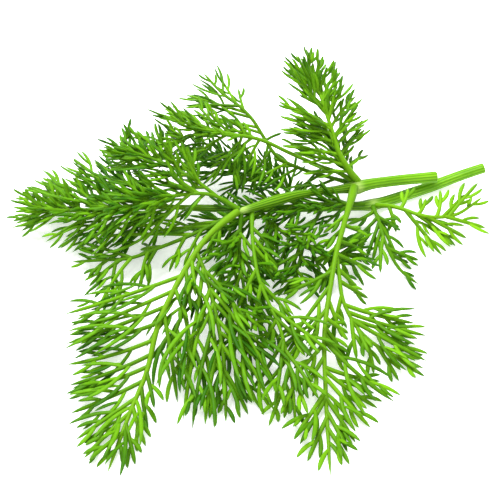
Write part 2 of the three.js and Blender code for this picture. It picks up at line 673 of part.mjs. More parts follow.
// The stems have eight sides, one of them straight down: the lower stem lies on that flat.
for (const [name, rows] of [['stem_upper', upperStem], ['stem_lower', lowerStem]]) {
  const points = rows.map(([x, y, z]) => new THREE.Vector3(x, y, z));
  const at = (i) => {
    const before = points[Math.max(i - 1, 0)];
    const after = points[Math.min(i + 1, points.length - 1)];
    return { point: points[i], growth: after.clone().sub(before).normalize() };
  };
  const line = { at, length: 1 };
  rows.slice(1).forEach((row, i) => {
    const [start, end] = [points[i], points[i + 1]];
    const whole = { start, end, middle: start.clone().lerp(end, 0.5), reach: start.distanceTo(end) / 2 };
    place(name, [whole], () => Math.max(row[3], rows[i][3]));
  });
  addNode(name, skinFrom({ line, rings: rows.map((row, i) => [i, row[3]]), branches: [] }, 8), stemColour);
}

// First every leaf stalk, then every leaflet, then the threads, so that the thick parts have the first choice.
const grown = fronds.map(({ name, axes }) => axes.map((axis, a) => {
  const fork = a === 0 && axes.length > 1 ? axes[1].leaves : 1;
  return growAxis(name, axis, Math.min(fork, axis.leaflets[0][0]));
}));
const addLeaflets = (axis, name, rows) => rows.forEach((row) => {
  const leaflet = growLeaflet(name, axis.line, row);
  if (leaflet) axis.branches.push({ ...leaflet, band: axis.bandAt(row[0]) });
});
fronds.forEach(({ name, axes }, f) => axes.forEach(({ leaflets }, a) => {
  addLeaflets(grown[f][a], name, leaflets);
}));
fronds.forEach(({ name, open, axes }, f) => axes.forEach(({ leaflets }, a) => {
  const key = 1000 * f + 500 * a;
  if (!open) addLeaflets(grown[f][a], name, uprightRows(grown[f][a], leaflets[0][0], key));
}));
fronds.forEach(({ name }, f) => grown[f].forEach((axis, a) => {
  const key = 1000 * f + 500 * a;
  axis.branches.forEach((leaflet, i) => growThreads(name, leaflet, key + 10 * i, threadLongest));
  growThreads(name, axis, key + 490, endThreadLongest);
}));
fronds.forEach(({ name, axes }, f) => {
  const [main, second] = grown[f];
  if (second) {
    const inside = second.rings.findIndex(([share]) => share * second.line.length > axisRoot);
    const branches = second.branches.map((branch) => ({ ...branch, band: branch.band - inside }));
    const band = main.bandAt(axes[1].leaves);
    main.branches.push({ ...second, rings: second.rings.slice(inside), branches, band });
  }
  addNode(name, skinFrom(main, 4), leafColour);
});

export default group;
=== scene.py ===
import math

import bpy
import numpy as np
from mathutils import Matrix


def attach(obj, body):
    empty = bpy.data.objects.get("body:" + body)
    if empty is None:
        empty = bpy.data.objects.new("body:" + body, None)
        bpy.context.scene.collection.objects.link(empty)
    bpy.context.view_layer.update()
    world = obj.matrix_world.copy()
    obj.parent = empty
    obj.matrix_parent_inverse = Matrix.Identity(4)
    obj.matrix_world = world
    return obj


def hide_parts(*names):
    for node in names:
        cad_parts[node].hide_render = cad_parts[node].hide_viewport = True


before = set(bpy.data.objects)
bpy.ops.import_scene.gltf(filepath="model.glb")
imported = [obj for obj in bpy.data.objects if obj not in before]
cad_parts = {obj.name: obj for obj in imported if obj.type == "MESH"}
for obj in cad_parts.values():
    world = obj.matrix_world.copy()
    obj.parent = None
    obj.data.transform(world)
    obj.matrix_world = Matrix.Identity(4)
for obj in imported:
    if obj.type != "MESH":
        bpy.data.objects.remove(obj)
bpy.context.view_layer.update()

# ---------------------------------------------------------------- the two stems
# Two cut stems of young dill: moist, ribbed green rods with pale swollen joints where most leaves leave them,
# and a softer pith that shows at the cut. The lower one lies on the table, and the upper one on the leaves.

millimetre = 0.001
up = np.array([0.0, 0.0, 1.0])
bunch_middle = np.array([1.95, -9.7, 0.0])    # which comes over the frame's origin

# Each row is a point on the middle line and the radius there, in millimetres.
stem_rows = {
    "stem_upper": [
        [80, 40.6, 8.6, 2.5], [72, 39.2, 9, 2.45], [64, 37.5, 9.7, 2.4], [53, 34.4, 11, 2.4],
        [48, 32.5, 11.6, 2.7], [44.5, 31, 12, 3.1], [41, 29.8, 12.7, 2.3], [35, 27.5, 14, 1.7],
        [25, 24, 16, 1.6], [18, 21, 17.4, 2.0], [10, 16.5, 19, 2.3], [3, 12.4, 20.4, 1.8],
        [-3, 9, 21.4, 1.3], [-4.6, 8.1, 21.7, 0.95],
    ],
    "stem_lower": [
        [101.8, 46.7, 8, 2.3], [94, 45.2, 5.8, 2.35], [86, 43.4, 3.5, 2.4], [79, 41, 2.27, 2.45],
        [63, 34, 2.27, 2.45], [56, 31, 2.6, 2.45], [52, 29.4, 3, 2.7], [48, 28.1, 3.8, 2.2],
        [42, 26.4, 5, 1.8], [29, 23.8, 7, 1.6], [12.5, 21.4, 9, 1.5], [-4, 20.5, 10, 1.4],
        [-16, 20.1, 10.8, 1.6], [-20, 20, 11, 1.5],
    ],
}
stem_joints = {"stem_upper": [5, 12], "stem_lower": [6]}      # rows where leaves leave the stem
joint_length = 2.2            # of the pale part, to each side of a joint
stem_roundness = 0.96         # of the radius, for a smooth stem as thick as an eight-sided one
stem_sides = 96
stem_ribs = 12
rib_depth = 0.03              # of the radius
rings_per_row = 8
cut_bevel = 0.25
cut_swelling = 0.05           # of the skin at the cut, outwards
cut_swelling_share = 0.8      # of the stem's radius, where it is
pith_share = 0.62             # of the stem's radius
pith_floor_share = 0.8        # of the pith's own
pith_depth = 0.35
stem_table_gap = 0.02


def smooth_line(knots, steps):
    """A smooth line through the knots, with the same number of points between each two."""
    knots = np.array(knots, float)
    ends = np.vstack([2 * knots[0] - knots[1], knots, 2 * knots[-1] - knots[-2]])
    points = []
    for before, start, end, after in zip(ends, ends[1:], ends[2:], ends[3:]):
        leaving = (end - before) / 2
        arriving = (after - start) / 2
        for t in np.arange(steps) / steps:
            points.append(
                start + leaving * t + (3 * (end - start) - 2 * leaving - arriving) * t**2
                + (2 * (start - end) + leaving + arriving) * t**3
            )
    return np.array(points + [knots[-1]])


def unit(way):
    return way / np.linalg.norm(way)


def in_metres(points):
    return (np.array(points) - bunch_middle) * millimetre


def add_node(tree, kind, inputs=None, **properties):
    """A node with its properties set, and its inputs set or wired by their name or place."""
    made = tree.nodes.new(kind)
    for name, value in properties.items():
        setattr(made, name, value)
    for key, value in (inputs or {}).items():
        named = [s for s in made.inputs if s.enabled and s.name == key]
        socket = named[0] if named else made.inputs[key]
        if isinstance(value, bpy.types.NodeSocket):
            tree.links.new(value, socket)
        else:
            socket.default_value = value
    return made


def result(made):
    return next(s for s in made.outputs if s.enabled)


def calculate(tree, operation, *values):
    return result(add_node(tree, "ShaderNodeMath", dict(enumerate(values)), operation=operation))


def blend_colours(tree, factor, first, second):
    made = add_node(tree, "ShaderNodeMix", data_type="RGBA")
    sockets = {s.name: s for s in made.inputs if s.enabled}
    for name, value in (("Factor", factor), ("A", first), ("B", second)):
        if isinstance(value, bpy.types.NodeSocket):
            tree.links.new(value, sockets[name])
        else:
            sockets[name].default_value = (*value, 1) if name != "Factor" else value
    return result(made)


def read_attribute(tree, name):
    return add_node(tree, "ShaderNodeAttribute", attribute_name=name).outputs["Fac"]


def between(tree, value, low, high):
    """0 where the value is at or under low, 1 where it is at or over high."""
    return result(add_node(tree, "ShaderNodeMapRange", {"Value": value, "From Min": low, "From Max": high}))


def plant_skin(name, roughness, shine, glow):
    """A moist green plant surface, and its shader, whose colour is still to be wired."""
    skin = bpy.data.materials.new(name)
    skin.use_nodes = True
    shader = skin.node_tree.nodes["Principled BSDF"]
    shader.inputs["Roughness"].default_value = roughness
    shader.inputs["Specular IOR Level"].default_value = shine
    shader.inputs["Subsurface Weight"].default_value = glow
    shader.inputs["Subsurface Radius"].default_value = (0.6, 1.0, 0.2)
    shader.inputs["Subsurface Scale"].default_value = 1.0 * millimetre
    return skin, shader


def wire_skin(tree, shader, colour, grain, strength):
    """Gives the skin its colour, and a fine grain that only catches the light."""
    inputs = {"Height": grain, "Strength": strength, "Distance": 0.1 * millimetre}
    tree.links.new(add_node(tree, "ShaderNodeBump", inputs).outputs["Normal"], shader.inputs["Normal"])
    tree.links.new(colour, shader.inputs["Base Color"])


def mottle(tree, scale, stretch=(1, 1, 1)):
    """Soft cloudy spots from 0 to 1, fixed to the piece."""
    place = add_node(tree, "ShaderNodeTexCoord").outputs["Object"]
    stretched = add_node(tree, "ShaderNodeMapping", {"Vector": place, "Scale": stretch}).outputs["Vector"]
    inputs = {"Vector": stretched, "Scale": scale, "Detail": 3.0}
    return add_node(tree, "ShaderNodeTexNoise", inputs).outputs["Fac"]


def stem_skin():
    skin, shader = plant_skin("stem_skin", roughness=0.36, shine=0.12, glow=0.12)
    tree = skin.node_tree
    clouds = between(tree, mottle(tree, 260, (0.35, 1, 1)), 0.35, 0.7)
    ribs = between(tree, read_attribute(tree, "rib"), -1, 1)
    green = blend_colours(tree, clouds, (0.13, 0.34, 0.0048), (0.22, 0.48, 0.014))
    ribbed = blend_colours(tree, ribs, (0.088, 0.25, 0.0036), green)
    # Past the first joint the stem is painted a darker green: painted shade of the leaves that lie over it.
    painted_leaf_shade = blend_colours(tree, ribs, (0.042, 0.14, 0.0024), (0.15, 0.34, 0.0072))
    shaded = blend_colours(tree, read_attribute(tree, "past"), ribbed, painted_leaf_shade)
    jointed = blend_colours(tree, read_attribute(tree, "joint"), shaded, (0.31, 0.48, 0.096))
    cut = blend_colours(tree, read_attribute(tree, "pith"), jointed, (0.36, 0.53, 0.1))
    wire_skin(tree, shader, cut, mottle(tree, 1400, (0.15, 1, 1)), 0.15)
    return skin


def mesh_object(name, points, faces=(), edges=(), attributes=None):
    mesh = bpy.data.meshes.new(name)
    mesh.from_pydata([tuple(p) for p in in_metres(points)], list(edges), list(faces))
    for key, values in (attributes or {}).items():
        mesh.attributes.new(key, "FLOAT", "POINT").data.foreach_set("value", np.array(values, "f"))
    piece = bpy.data.objects.new(name, mesh)
    bpy.context.collection.objects.link(piece)
    return piece


def stem_mesh(name):
    """Rings along the stem, with a bevelled cut and a sunken pith at its first end and a round last end."""
    rows = stem_rows[name]
    line = smooth_line(rows, rings_per_row)
    places, radii = line[:, :3], line[:, 3] * stem_roundness
    growths = np.gradient(places, axis=0)
    first, last = unit(growths[0]), unit(growths[-1])
    start, wide = places[0], radii[0]
    end, narrow = places[-1], radii[-1]

    # A ring has its middle, its radius, the way the stem grows there, how much it belongs to the cut, and how
    # much it lies past the first joint, where the stem gets a painted shade of the leaves over it.
    rings = [
        (start + first * pith_depth, 0.0, first, 1.0, 0),
        (start + first * pith_depth, wide * pith_share * pith_floor_share, first, 1.0, 0),
        (start, wide * pith_share, first, 1.0, 0),
        (start - first * cut_swelling, wide * cut_swelling_share, first, 0.6, 0),
        (start, wide - cut_bevel * 0.6, first, 0.5, 0),
        (start + first * cut_bevel, wide, first, 0.0, 0),
    ]
    # How much painted leaf shade a ring gets: none before the first joint, all of it past that joint.
    painted_leaf_shade = np.clip(np.arange(len(places)) / rings_per_row - stem_joints[name][0], 0, 1)
    for i in range(1, len(places) - 1):
        rings.append((places[i], radii[i], unit(growths[i]), 0.0, painted_leaf_shade[i]))
    for out, width in ((0, 1), (0.5, 0.8), (0.8, 0)):
        rings.append((end + last * narrow * out, narrow * width, last, 0.0, 1))

    turns = np.arange(stem_sides) * 2 * np.pi / stem_sides
    points, rib, joint, pith, past, faces = [], [], [], [], [], []
    joints = np.array([rows[i][:3] for i in stem_joints[name]])
    for middle, radius, growth, cut, beyond in rings:
        flat = unit(np.cross(up, growth))
        raised = np.cross(growth, flat)
        wave = np.cos(stem_ribs * turns)
        reach = radius * (1 + rib_depth * wave * (1 - cut))
        ring = middle + np.outer(np.cos(turns) * reach, flat) + np.outer(np.sin(turns) * reach, raised)
        pale = np.exp(-((np.linalg.norm(joints - middle, axis=1).min() / joint_length) ** 2))
        if radius == 0:
            ring, wave = ring[:1], wave[:1] * 0
        points += list(ring)
        rib += list(wave)
        joint += [pale] * len(ring)
        pith += [cut] * len(ring)
        past += [beyond] * len(ring)
    points = np.array(points)
    points[:, 2] = np.maximum(points[:, 2], stem_table_gap)
    faces += [(0, 1 + (k + 1) % stem_sides, 1 + k) for k in range(stem_sides)]
    for ring in range(len(rings) - 3):
        here, there = 1 + ring * stem_sides, 1 + (ring + 1) * stem_sides
        for k in range(stem_sides):
            after = (k + 1) % stem_sides
            faces.append((here + k, here + after, there + after, there + k))
    here, tip = 1 + (len(rings) - 3) * stem_sides, len(points) - 1
    faces += [(here + k, here + (k + 1) % stem_sides, tip) for k in range(stem_sides)]
    attributes = {"rib": rib, "joint": joint, "pith": pith, "past": past}
    return mesh_object(name + "_fine", points, faces, attributes=attributes)


stem_finish = stem_skin()
for stem_name in stem_rows:
    stem = stem_mesh(stem_name)
    stem.data.materials.append(stem_finish)
    stem.data.shade_smooth()
    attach(stem, "root")
    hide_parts(stem_name)

# ---------------------------------------------------------------- the leaves
# Sixteen feathery leaves. Each is a yellow-green leaf stalk with leaflets on both sides, whose thin stalks
# divide into soft lance-shaped threads, the longer of which fork. A leaf grows out of its stem, mostly at a
# joint, and its base wraps the stem. The tips of the lower leaves lie on the table.

# A leaf is one stalk, or two where it forks. A stalk has its radius at the root, the points it passes
# through, and its leaflets as [share of the way along, length, degrees to the left (+) or right (-), height
# of the tip] and, if one is barer than most, its pairs of threads. The first stalk has what goes for its
# whole leaf: "blade" is half the width of the threads, "fine" the spacing of the finer leaflets, 0 on an open
# leaf, "pale" how light the green is at the root and at the tip, and "sheath" how much wider a broad leaf
# base is, and over what length.

leaf_plans = {
    "frond_left": [{
        "radius": 1.05, "blade": 0.73, "fine": 4.5, "pale": [0.0, 0.45],
        "route": [
            [-20.7, 20, 11.1], [-37, 17, 15], [-53, 15, 16], [-69, 16, 14], [-84, 20, 10], [-98, 26, 5],
        ],
        "leaflets": [
            [0.13, 35, 25, 3], [0.16, 44, -50, 14], [0.23, 33, 25, 3], [0.25, 49, -50, 13],
            [0.32, 32, 10, 3], [0.34, 36, -50, 12], [0.42, 29, 20, 2], [0.44, 32, -40, 10],
            [0.5, 27, 5, 2], [0.52, 36, -40, 9], [0.58, 26, -5, 3], [0.6, 32, -30, 8], [0.69, 22, 15, 3],
            [0.7, 24, -25, 7], [0.78, 18, 5, 3], [0.79, 19, -15, 5],
        ],
    }],
    "frond_low_left": [{
        "radius": 1.2, "blade": 0.83, "fine": 0, "pale": [0.15, 0.3], "sheath": (0.3, 8),
        "route": [
            [-6, 6.8, 22], [-14, -2, 22], [-21, -12, 20], [-29, -28, 16], [-34, -41, 12], [-37, -56, 7],
            [-42, -71, 4], [-48, -92, 1],
        ],
        "leaflets": [
            [0.24, 16, 28, 17, 2], [0.28, 18, 36, 14, 2], [0.31, 48, -54, 4], [0.36, 14, 40, 14],
            [0.37, 44, -50, 3], [0.43, 41, -55, 2], [0.45, 34, 24, 2, 3], [0.49, 27, -65, 5],
            [0.49, 44, 10, 1, 2], [0.55, 34, -70, 2], [0.6, 32, -65, 1], [0.64, 29, -65, 1],
            [0.66, 12, 25, 2], [0.69, 28, -50, 1], [0.71, 17, 30, 1], [0.75, 25, -35, 1],
            [0.78, 15, 40, 1], [0.8, 22, -25, 1], [0.84, 15, 25, 1], [0.87, 12, -25, 1],
        ],
    }, {
        "radius": 0.85,
        "route": [
            [-20.5, -11, 20.2], [-17, -19, 17.5], [-14, -29, 14], [-11, -42, 10], [-9, -56, 5],
            [-8.5, -73, 1],
        ],
        "leaflets": [
            [0.06, 44, -45, 2], [0.11, 47, -38, 2], [0.12, 30, 10, 8], [0.18, 14, 45, 14],
            [0.24, 50, -18, 1], [0.24, 43, 8, 2], [0.32, 38, 18, 1], [0.33, 14, -35, 12],
            [0.4, 42, -12, 1], [0.42, 40, 8, 1], [0.5, 13, 45, 9], [0.56, 30, -8, 1], [0.57, 27, 14, 1],
            [0.68, 20, -18, 1], [0.72, 18, 16, 1],
        ],
    }],
    "frond_side_left": [{
        "radius": 0.8, "blade": 0.79, "fine": 0, "pale": [0.3, 0.35],
        "route": [
            [-6.5, 8.4, 20.4], [-13.5, 5, 18.4], [-24, 0.5, 16], [-36, -3.2, 13], [-47, -5.8, 10],
            [-59, -3.5, 6], [-72, -1.3, 2],
        ],
        "leaflets": [
            [0.05, 15, 20, 12], [0.1, 14, -25, 14], [0.15, 24, -30, 12], [0.2, 16, 35, 9],
            [0.26, 37, -35, 6], [0.3, 15, 40, 7], [0.44, 13, -40, 6], [0.47, 18, 40, 1],
            [0.52, 14, 70, 2], [0.62, 25, 55, 1], [0.62, 25, -35, 4], [0.68, 17, 45, 2],
            [0.71, 19, 95, 1], [0.77, 10, 35, 2],
        ],
    }],
    "frond_upper_left": [{
        "radius": 0.75, "blade": 0.71, "fine": 5, "pale": [0.35, 0.15],
        "route": [
            [-5.9, 9.3, 23.3], [-14, 11, 28], [-23, 11, 29], [-35, 10, 27], [-47, 9, 24], [-60, 8, 19],
        ],
        "leaflets": [
            [0.23, 16, 25, 18], [0.3, 21, -30, 28], [0.33, 27, 30, 14], [0.47, 27, -35, 24],
            [0.5, 25, 15, 13], [0.64, 25, -35, 20], [0.68, 24, 20, 12], [0.83, 19, -30, 16],
            [0.85, 16, 10, 13],
        ],
    }, {
        "radius": 0.75,
        "route": [
            [-13, 11, 27.6], [-21, 16, 31], [-30, 22, 32], [-40, 29, 31], [-50, 35, 27], [-58, 44, 24],
        ],
        "leaflets": [
            [0.1, 18, 25, 26], [0.15, 16, -40, 36], [0.25, 25, 25, 24], [0.32, 20, -25, 38],
            [0.41, 27, 20, 24], [0.49, 14, -20, 34], [0.57, 22, 5, 26], [0.67, 14, -25, 30],
            [0.72, 14, -5, 27],
        ],
    }],
    "frond_arch": [{
        "radius": 0.8, "blade": 0.67, "fine": 5, "pale": [0.3, 0.35],
        "route": [
            [41.6, 33, 15], [36, 33.8, 18.4], [28, 34, 22], [16, 34, 29], [5, 36, 34], [-6, 36, 37],
            [-18, 38, 37], [-30, 36, 33], [-45, 38, 26], [-55, 40, 20],
        ],
        "leaflets": [
            [0.4, 22, 60, 18], [0.43, 26, 25, 20], [0.47, 22, 60, 18], [0.52, 27, 25, 22],
            [0.54, 19, -40, 40], [0.57, 26, -20, 36], [0.59, 26, -25, 38], [0.63, 18, -60, 40],
            [0.64, 26, 0, 20], [0.69, 10, -35, 34], [0.71, 30, 0, 18], [0.78, 15, -15, 30],
            [0.84, 20, 10, 18],
        ],
    }],
    "frond_top": [{
        "radius": 0.8, "blade": 0.65, "fine": 0, "pale": [0.25, 0.3],
        "route": [
            [42, 34.1, 11.6], [34, 35.4, 13.4], [22, 34.6, 19], [11.5, 35.5, 25], [5.5, 41.5, 31],
            [1, 47.5, 35], [-4.5, 53, 37.5], [-12, 60.5, 38.5], [-20, 75, 37],
        ],
        "leaflets": [
            [0.07, 15, 35, 12], [0.15, 17, 30, 13], [0.22, 16, -25, 20], [0.27, 20, 40, 20.5],
            [0.33, 19, 30, 22], [0.43, 21, 100, 14], [0.48, 8, -95, 30], [0.52, 23, 30, 34],
            [0.55, 15, 35, 30], [0.61, 27, 20, 34], [0.64, 31, 26, 34], [0.66, 12, -35, 39],
            [0.69, 23, 40, 36], [0.71, 17, -25, 38],
        ],
    }],
    "frond_top_right": [{
        "radius": 0.85, "blade": 0.73, "fine": 4, "pale": [0.5, 0.3], "sheath": (0.9, 14),
        "route": [
            [44.2, 32.7, 15.5], [41, 33, 20], [36.5, 36, 27], [34, 41, 33], [31, 47, 39], [29, 53, 42.5],
            [24.5, 63, 44.5], [19.5, 77, 45],
        ],
        "leaflets": [
            [0.03, 13, -75, 20], [0.08, 18, 20, 22], [0.1, 13, -100, 18], [0.16, 21, 25, 26],
            [0.17, 17, -80, 24], [0.2, 20, -80, 26], [0.21, 24, 50, 30], [0.27, 18, -65, 30],
            [0.29, 22, 55, 34], [0.33, 18, -60, 33], [0.34, 22, 50, 38], [0.39, 22, -60, 36],
            [0.4, 24, 40, 41], [0.44, 20, -50, 42], [0.48, 23, 30, 54], [0.51, 14, -45, 44],
            [0.53, 22, 24, 50], [0.58, 15, -45, 46], [0.61, 18, 35, 57], [0.63, 11, -40, 50],
            [0.69, 12, -25, 47], [0.71, 12, 35, 46],
        ],
    }],
    "frond_right": [{
        "radius": 0.85, "blade": 0.89, "fine": 0, "pale": [0.6, 0.75],
        "route": [
            [54.4, 27.4, 4.7], [59, 24, 8], [64, 20, 10], [70, 16, 11], [77, 15, 11], [86, 18, 10],
            [98, 29, 8],
        ],
        "leaflets": [
            [0.1, 12, -40, 3], [0.21, 10, 105, 13], [0.25, 24, -15, 2], [0.35, 21, 0, 2],
            [0.36, 9, 90, 12], [0.43, 19, -5, 4], [0.5, 14, 75, 13], [0.55, 16, 30, 12],
            [0.58, 18, -10, 5], [0.6, 22, 25, 11],
        ],
    }],
    "frond_right_front": [{
        "radius": 0.8, "blade": 0.85, "fine": 0, "pale": [0.1, 0.2],
        "route": [[52.1, 26.5, 4.3], [53, 16, 8], [54, 7, 8], [56, 1, 6], [60, -6, 3], [67, -12, 1]],
        "leaflets": [
            [0.07, 13, -70, 3], [0.13, 11, 25, 3], [0.18, 10, 60, 5], [0.2, 15, -55, 2],
            [0.28, 17, -28, 1], [0.3, 16, 15, 1], [0.37, 14, -24, 1], [0.45, 15, -8, 1],
            [0.57, 14, 55, 2], [0.62, 10, 35, 2], [0.67, 9, 25, 1],
        ],
    }],
    "frond_low_right": [{
        "radius": 1.05, "blade": 0.87, "fine": 0, "pale": [0.3, 0.5], "sheath": (0.8, 13),
        "route": [
            [43, 27.3, 14.4], [41.5, 21, 16], [39, 12, 17], [36, 1, 18], [33, -10, 17], [30, -25, 14],
            [28, -36, 12], [27, -46, 9], [27, -58, 5], [27, -71, 2], [27, -93, 1],
        ],
        "leaflets": [
            [0.14, 12, -45, 12], [0.19, 11, 110, 12], [0.21, 12, -50, 10], [0.26, 14, 120, 9],
            [0.28, 13, -60, 8], [0.31, 19, 105, 6], [0.35, 14, -25, 8], [0.37, 22, -65, 7],
            [0.42, 32, -27, 4], [0.45, 26, -55, 4], [0.47, 15, 35, 5], [0.5, 24, -42, 3],
            [0.53, 11, 80, 6], [0.56, 14, 40, 4], [0.58, 14, 60, 3], [0.6, 32, 65, 2],
            [0.61, 15, -45, 3], [0.65, 17, -25, 2], [0.68, 21, 80, 2], [0.69, 23, 55, 1],
            [0.71, 24, 40, 1], [0.75, 20, -35, 1], [0.77, 19, 30, 1], [0.77, 20, -30, 1],
            [0.81, 16, 15, 1], [0.83, 18, -25, 1], [0.86, 14, 15, 1],
        ],
    }, {
        "radius": 0.8,
        "route": [
            [33.2, -8.4, 17.1], [34, -17, 14], [35, -27, 11], [39, -36, 8], [45, -42, 5], [54, -47, 3],
            [64, -51, 1],
        ],
        "leaflets": [
            [0.12, 13, 70, 5], [0.2, 15, 80, 4], [0.3, 14, -10, 4], [0.36, 28, 62, 4], [0.41, 31, 55, 3],
            [0.38, 25, -10, 1], [0.46, 26, 50, 3], [0.46, 15, -15, 2], [0.47, 30, 45, 2],
            [0.53, 9, -15, 2], [0.6, 14, -40, 1], [0.69, 15, -30, 1], [0.74, 14, 15, 2],
            [0.81, 9, -10, 1],
        ],
    }],
    "frond_centre": [{
        "radius": 0.75, "blade": 0.83, "fine": 0, "pale": [0.25, 0.42],
        "route": [
            [0.8, 9, 18.9], [1, -3, 18], [3, -19, 16], [7, -30, 13], [11, -40, 11], [13, -48, 8],
            [15, -58, 5], [16, -75, 1],
        ],
        "leaflets": [
            [0.07, 14, 50, 14], [0.12, 16, 40, 12], [0.17, 16, 55, 9], [0.29, 17, -35, 6],
            [0.36, 21, 25, 8], [0.37, 18, -35, 4], [0.48, 27, 35, 5], [0.53, 19, 30, 3],
            [0.54, 11, -65, 4], [0.63, 24, -55, 1], [0.64, 23, -35, 1], [0.68, 20, 25, 1],
            [0.71, 14, -60, 1], [0.76, 24, -30, 1], [0.78, 14, 15, 1], [0.84, 9, -25, 1],
            [0.88, 9, 20, 1],
        ],
    }],
    "frond_front": [{
        "radius": 0.7, "blade": 0.83, "fine": 6, "pale": [0.12, 0.15],
        "route": [[-3.6, 7, 20], [-4, 0, 16], [-4, -9, 13], [-2, -23, 9], [-1, -37, 5], [1, -56, 1]],
        "leaflets": [
            [0.08, 20, -50, 9], [0.1, 21, 45, 8], [0.15, 22, -25, 8], [0.21, 23, 20, 6],
            [0.24, 25, -15, 5], [0.32, 26, 15, 4], [0.34, 26, -15, 4], [0.44, 32, 15, 2],
            [0.47, 32, -14, 3], [0.58, 28, -16, 1], [0.63, 26, 8, 1],
        ],
    }],
    "frond_inner": [{
        "radius": 0.75, "blade": 0.75, "fine": 6, "pale": [0.15, 0.15],
        "route": [[4.2, 18.4, 10.4], [13, 7, 11], [20, 0, 11], [29, -3, 10], [38, -2, 8], [49, 0, 5]],
        "leaflets": [
            [0.09, 16, -50, 6], [0.15, 17, -60, 5], [0.21, 15, -60, 4], [0.32, 12, 115, 12],
            [0.34, 19, -70, 3], [0.44, 19, -85, 2], [0.46, 13, 75, 12], [0.53, 16, -65, 2],
            [0.56, 17, 55, 9], [0.64, 15, -80, 2], [0.66, 18, 30, 7], [0.7, 11, -50, 2],
            [0.77, 11, -55, 2], [0.78, 13, 30, 5],
        ],
    }],
    "frond_middle": [{
        "radius": 0.75, "blade": 0.73, "fine": 6, "pale": [0.05, 0.05],
        "route": [[29.3, 21, 8.2], [26, 11, 12], [22, 2, 13.5], [20, -6, 11], [18, -11, 7], [16, -18, 2]],
        "leaflets": [
            [0.17, 13, -40, 10], [0.33, 11, 105, 9], [0.45, 13, -65, 8], [0.53, 11, 105, 7],
            [0.61, 14, -65, 5], [0.67, 11, 85, 5], [0.74, 12, -50, 3], [0.78, 11, 75, 2],
            [0.85, 10, -20, 2],
        ],
    }],
    "frond_between": [{
        "radius": 0.8, "blade": 0.69, "fine": 3.5, "pale": [0.0, 0.0],
        "route": [
            [46.4, 25.8, 7.2], [36, 22, 11.5], [24, 20.5, 12.5], [11, 18, 13.5], [0, 14, 13],
            [-10, 9, 11], [-20, 4, 7],
        ],
        "leaflets": [
            [0.06, 12, -20, 10], [0.09, 15, 20, 7], [0.13, 13, -30, 12], [0.2, 14, -35, 13],
            [0.22, 16, 20, 6], [0.28, 15, -30, 14], [0.35, 17, 20, 6], [0.38, 16, -35, 15],
            [0.47, 16, -40, 15], [0.48, 16, 25, 6], [0.57, 16, -35, 15], [0.61, 18, 20, 5],
            [0.66, 17, -40, 14], [0.68, 18, 25, 4], [0.75, 17, -35, 12], [0.77, 18, 20, 3],
            [0.84, 15, -30, 9], [0.88, 15, 20, 3],
        ],
    }],
    "frond_back": [{
        "radius": 0.75, "blade": 0.63, "fine": 3.5, "pale": [0.0, 0.0],
        "route": [[20.5, 25.3, 9.1], [14, 32, 11], [5, 37, 13], [-5, 41, 14], [-16, 46, 13], [-32, 55, 10]],
        "leaflets": [
            [0.06, 10, -95, 12], [0.1, 16, -60, 12], [0.17, 16, 45, 10], [0.2, 12, -20, 15],
            [0.24, 22, 80, 6], [0.26, 16, -55, 14], [0.29, 15, -15, 16], [0.33, 18, 45, 10],
            [0.35, 24, 70, 6], [0.41, 17, -50, 15], [0.42, 20, 85, 6], [0.44, 13, -10, 17],
            [0.47, 20, 30, 9], [0.5, 22, 70, 7], [0.56, 18, -35, 14], [0.57, 18, 60, 8],
            [0.64, 20, 25, 8], [0.71, 16, -35, 12], [0.82, 19, 20, 7],
        ],
    }],
}

stalk_clearance = 0.7         # what a leaflet keeps clear, from its middle
thread_clearance = 0.6
route_steps = 10              # of a leaf stalk, from one of its points to the next
stalk_step = 5                # the straight pieces that stand for a leaf stalk in what is placed
leaflet_pieces = 4            # that stand for a leaflet there
thread_pieces = 2
most_pieces = 12000           # in all
least_across = 3              # of a leaflet, from its root to its tip, seen from above
early_fall = 0.3              # of a leaflet's fall is behind it halfway
table_gap = 0.05              # under a stalk or thread
pair_spacing = 9              # of the pairs of threads along a stalk
bare_share = 0.14             # of a leaflet, before its first pair
forked_share = 0.64           # and the share of it that bears pairs
end_bare_share = 0.73         # the same two of a leaf stalk, which bears pairs at its end alone
end_forked_share = 0.22
short_leaflet = 9             # and shorter leaflets have no threads
thread_longest = 22
end_thread_longest = 17       # at the end of a leaf stalk
thread_shortest = 5.5
thread_share = 0.58           # of its leaflet's length
thread_room = 0.9             # of what is left of its leaflet, past the thread's root
thread_least = 0.9            # of the length that these give it
thread_spread = 0.25          # and what is added by chance
thread_roll = 50              # degrees, by chance, that a thread turns out of the leaflet's plane
thread_roll_down = 0.4        # of them are to the table's side
thread_angle = 48             # degrees from its leaflet, for a thread at the root of the leaflet
thread_tip_angle = 34         # and for a thread at its tip
thread_bow = 0.12             # of that angle is left where the thread ends
thread_stagger = 1.4          # along the stalk, from the middle of a pair to each of its threads
leaflet_bow = 14              # degrees at most that a leaflet starts out narrower than its tip lies
straight_angle = 30           # degrees from the stalk of a straight leaflet
bow_share = 0.35              # of what a leaflet spreads over that, it starts out narrower
upright_spacing = 10          # of the short leaflets that rise between the planned ones
upright_length = 13
upright_end = 0.85            # of a leaf stalk, past which there are none
upright_angle = 30            # degrees from the leaf stalk, on the average
upright_lift = 4.5            # of its tip over its root, on the average
fine_clearance = 0.3          # of what grows in between
raised_share = 0.5            # of what is left of its leaflet, the length of a thread in between
raised_roll = (15, 60)        # degrees that it rises out of the leaflet's plane
raised_shortest = 7
gap_between_leaves = 0.6
gap_within_leaf = 0.15
leaflet_root = 4              # the part of a leaflet, and of a thread, that may be close to its own leaf
thread_root = 3
lean = np.array([0, -0.84, 1])        # a lifted tip leans to the front
middle_lift = 0.4                     # of the tip's, at the middle of the line
